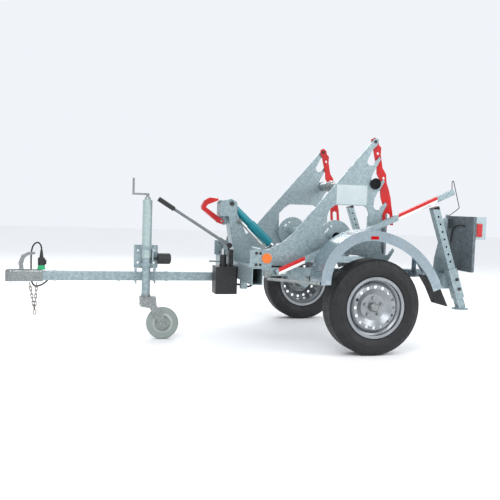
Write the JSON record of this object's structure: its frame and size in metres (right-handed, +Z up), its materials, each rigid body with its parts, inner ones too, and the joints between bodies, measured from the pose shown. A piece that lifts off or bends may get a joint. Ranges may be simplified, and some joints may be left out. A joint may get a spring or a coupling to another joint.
{
  "type": "cable drum trailer",
  "caption": "Single-axle trailer with hydraulic lift arms, hooked for a drum spindle, with coupling, jockey wheel, lamps and legs.",
  "frame": {"origin": "middle of the footprint on the ground", "axes": "+X to the rear, +Y to the trailer's right side, +Z up"},
  "size_m": [2.919, 1.616, 1.363],
  "materials": {
    "galvanised": "hot-dip galvanised, spangled",
    "zinc": "zinc plated",
    "green_plastic": "moulded",
    "black_plastic": "moulded",
    "black_rubber": "matt",
    "pale_tube": "bright galvanised",
    "pale_rim": "pale grey",
    "grey_rubber": "grey solid rubber",
    "amber": "reflector",
    "red_paint": "gloss",
    "teal_paint": "gloss",
    "chrome": "polished",
    "black_steel": "blackened",
    "bare_steel": "turned",
    "black_paint": "satin",
    "silver_paint": "silver",
    "tyre": "treaded",
    "bright_steel": "bright galvanised sheet",
    "dark_plate": "weathered galvanised"
  },
  "bodies": {
    "chassis": {"drawbar": "galvanised", "coupling_housing": "zinc", "parking_socket": "green_plastic", "plug": "black_plastic", "trailer_lead": "black_rubber", "jockey_clamp": "galvanised", "jockey_outer_tube": "pale_tube", "cross_member": "galvanised", "side_rails": "galvanised", "corner_plates": "galvanised", "side_reflectors": "amber", "mast": "galvanised", "brace_rods": "zinc", "pump_tank": "black_paint", "pump_body": "black_paint", "hydraulic_hose": "black_rubber", "fenders": "bright_steel", "mudflaps": "black_rubber", "rear_brackets": "galvanised", "marker_bar": "galvanised", "retaining_wire": "bare_steel", "frame_bolts": "black_steel"},
    "lift_frame": {"left_lift_arm": "galvanised", "right_lift_arm": "galvanised", "arm_pins": "black_steel", "front_cross_tube": "galvanised", "rear_cross_tube": "galvanised"},
    "jockey_slide": {"jockey_inner_tube": "galvanised"},
    "jockey_wheel": {"jockey_wheel": "pale_rim", "jockey_tyre": "grey_rubber"},
    "left_wheel": {"left_hub": "zinc", "left_rim": "silver_paint", "left_tyre": "tyre"},
    "right_wheel": {"right_hub": "zinc", "right_rim": "silver_paint", "right_tyre": "tyre"},
    "left_lamp_board": {"left_lamp_board": "dark_plate", "left_lamp_lead": "black_rubber"},
    "coupling_handle": {"coupling_handle": "zinc"},
    "coupling_clamp": {"coupling_clamp": "zinc"},
    "safety_chain": {"safety_chain": "zinc"},
    "jockey_knob": {"jockey_knob": "black_plastic"},
    "jockey_crank": {"jockey_crank": "zinc"},
    "jockey_fork": {"jockey_fork": "zinc"},
    "left_swing_arm": {"left_swing_arm": "galvanised"},
    "right_swing_arm": {"right_swing_arm": "galvanised"},
    "left_lock_bar": {"left_lock_bar": "red_paint"},
    "right_lock_bar": {"right_lock_bar": "red_paint"},
    "spindle": {"spindle": "bare_steel"},
    "left_drum_cone": {"left_drum_cone": "zinc"},
    "right_drum_cone": {"right_drum_cone": "zinc"},
    "cylinder_barrel": {"cylinder_barrel": "teal_paint"},
    "cylinder_rod": {"cylinder_rod": "chrome"},
    "pump_lever": {"pump_lever": "zinc"},
    "pump_plunger": {"pump_plunger": "chrome"},
    "release_valve": {"release_valve": "zinc"},
    "mast_handle": {"mast_handle": "red_paint"},
    "left_leg": {"left_leg": "galvanised"},
    "right_leg": {"right_leg": "galvanised"},
    "right_lamp_board": {"right_lamp_board": "dark_plate"}
  },
  "joints": [
    {"name": "coupling_handle_lift", "type": "hinge", "parent": "chassis", "child": "coupling_handle", "pos_m": [-1.3605, 0, 0.41], "axis": [0, 1, 0], "range_deg": [-28, 0]},
    {"name": "coupling_clamp_release", "type": "hinge", "parent": "chassis", "child": "coupling_clamp", "pos_m": [-1.3305, 0, 0.392], "axis": [0, 1, 0], "range_deg": [-9, 0]},
    {"name": "safety_chain_swing", "type": "hinge", "parent": "chassis", "child": "safety_chain", "pos_m": [-1.2905, 0, 0.372], "axis": [0, 1, 0], "range_deg": [-15, 15]},
    {"name": "jockey_knob_turn", "type": "hinge", "parent": "chassis", "child": "jockey_knob", "pos_m": [-0.5125, -0.082, 0.531], "axis": [1, 0, 0], "continuous": true},
    {"name": "jockey_crank_turn", "type": "hinge", "parent": "chassis", "child": "jockey_crank", "pos_m": [-0.5875, -0.082, 0.95], "axis": [0, 0, 1], "range_deg": [0, 5625]},
    {"name": "jockey_height", "type": "slide", "parent": "chassis", "child": "jockey_slide", "axis": [0, 0, 1], "range_m": [0, 0.126]},
    {"name": "jockey_swivel", "type": "hinge", "parent": "jockey_slide", "child": "jockey_fork", "pos_m": [-0.5875, -0.082, 0.29], "axis": [0, 0, 1], "continuous": true},
    {"name": "jockey_wheel_roll", "type": "hinge", "parent": "jockey_fork", "child": "jockey_wheel", "pos_m": [-0.4755, -0.082, 0.105], "axis": [0, 1, 0], "continuous": true},
    {"name": "left_suspension", "type": "hinge", "parent": "chassis", "child": "left_swing_arm", "pos_m": [0.6075, -0.57, 0.36], "axis": [0, 1, 0], "range_deg": [-8, 8], "stiffness_Nm_per_rad": 1500, "springref_deg": 4.87},
    {"name": "left_wheel_roll", "type": "hinge", "parent": "left_swing_arm", "child": "left_wheel", "pos_m": [0.7375, -0.7, 0.298], "axis": [0, 1, 0], "continuous": true},
    {"name": "right_suspension", "type": "hinge", "parent": "chassis", "child": "right_swing_arm", "pos_m": [0.6075, 0.57, 0.36], "axis": [0, 1, 0], "range_deg": [-8, 8], "stiffness_Nm_per_rad": 1500, "springref_deg": 4.87},
    {"name": "right_wheel_roll", "type": "hinge", "parent": "right_swing_arm", "child": "right_wheel", "pos_m": [0.7375, 0.7, 0.298], "axis": [0, 1, 0], "continuous": true},
    {"name": "lift_frame_lower", "type": "hinge", "parent": "chassis", "child": "lift_frame", "pos_m": [0.0935, 0, 0.578], "axis": [0, 1, 0], "range_deg": [0, 38]},
    {"name": "left_lock_bar_open", "type": "hinge", "parent": "lift_frame", "child": "left_lock_bar", "pos_m": [0.8125, -0.48, 1.334], "axis": [0, 1, 0], "range_deg": [-80, 0]},
    {"name": "right_lock_bar_open", "type": "hinge", "parent": "lift_frame", "child": "right_lock_bar", "pos_m": [0.8125, 0.48, 1.334], "axis": [0, 1, 0], "range_deg": [-80, 0]},
    {"name": "spindle_turn", "type": "hinge", "parent": "lift_frame", "child": "spindle", "pos_m": [0.8205, 0, 1.065], "axis": [0, 1, 0], "continuous": true},
    {"name": "left_cone_slide", "type": "slide", "parent": "spindle", "child": "left_drum_cone", "axis": [0, 1, 0], "range_m": [-0.11, 0.12]},
    {"name": "right_cone_slide", "type": "slide", "parent": "spindle", "child": "right_drum_cone", "axis": [0, 1, 0], "range_m": [-0.12, 0.11]},
    {"name": "cylinder_swing", "type": "hinge", "parent": "chassis", "child": "cylinder_barrel", "pos_m": [-0.0225, 0, 0.908], "axis": [0, 1, 0], "range_deg": [0, 13.5]},
    {"name": "cylinder_stroke", "type": "slide", "parent": "cylinder_barrel", "child": "cylinder_rod", "axis": [0.7355, 0, -0.6775], "range_m": [0, 0.09]},
    {"name": "pump_lever_stroke", "type": "hinge", "parent": "chassis", "child": "pump_lever", "pos_m": [-0.0525, -0.14, 0.63], "axis": [0, 1, 0], "range_deg": [-25, 0]},
    {"name": "pump_plunger_stroke", "type": "slide", "parent": "chassis", "child": "pump_plunger", "axis": [0, 0, 1], "range_m": [-0.016, 0]},
    {"name": "release_valve_turn", "type": "hinge", "parent": "chassis", "child": "release_valve", "pos_m": [-0.1725, -0.14, 0.522], "axis": [1, 0, 0], "range_deg": [0, 180]},
    {"name": "mast_handle_fold", "type": "hinge", "parent": "chassis", "child": "mast_handle", "pos_m": [-0.0845, 0, 0.788], "axis": [0, 1, 0], "range_deg": [-70, 0]},
    {"name": "left_leg_drop", "type": "slide", "parent": "chassis", "child": "left_leg", "axis": [0.3313, 0, -0.9435], "range_m": [-0.04, 0.28]},
    {"name": "right_leg_drop", "type": "slide", "parent": "chassis", "child": "right_leg", "axis": [0.3313, 0, -0.9435], "range_m": [-0.04, 0.28]},
    {"name": "left_lamp_board_swing", "type": "hinge", "parent": "chassis", "child": "left_lamp_board", "pos_m": [1.3415, -0.52, 0.7], "axis": [0, 0, 1], "range_deg": [0, 95]},
    {"name": "right_lamp_board_swing", "type": "hinge", "parent": "chassis", "child": "right_lamp_board", "pos_m": [1.3415, 0.52, 0.7], "axis": [0, 0, 1], "range_deg": [-95, 0]}
  ],
  "couplings": [
    {"joint": "coupling_clamp_release", "follows": "coupling_handle_lift", "ratio": 0.3},
    {"joint": "jockey_height", "follows": "jockey_crank_turn", "m_per_rad": 0.0012732},
    {"joint": "cylinder_swing", "follows": "lift_frame_lower", "ratio": 0.345},
    {"joint": "cylinder_stroke", "follows": "lift_frame_lower", "m_per_rad": 0.1286},
    {"joint": "pump_plunger_stroke", "follows": "pump_lever_stroke", "m_per_rad": 0.036}
  ]
}
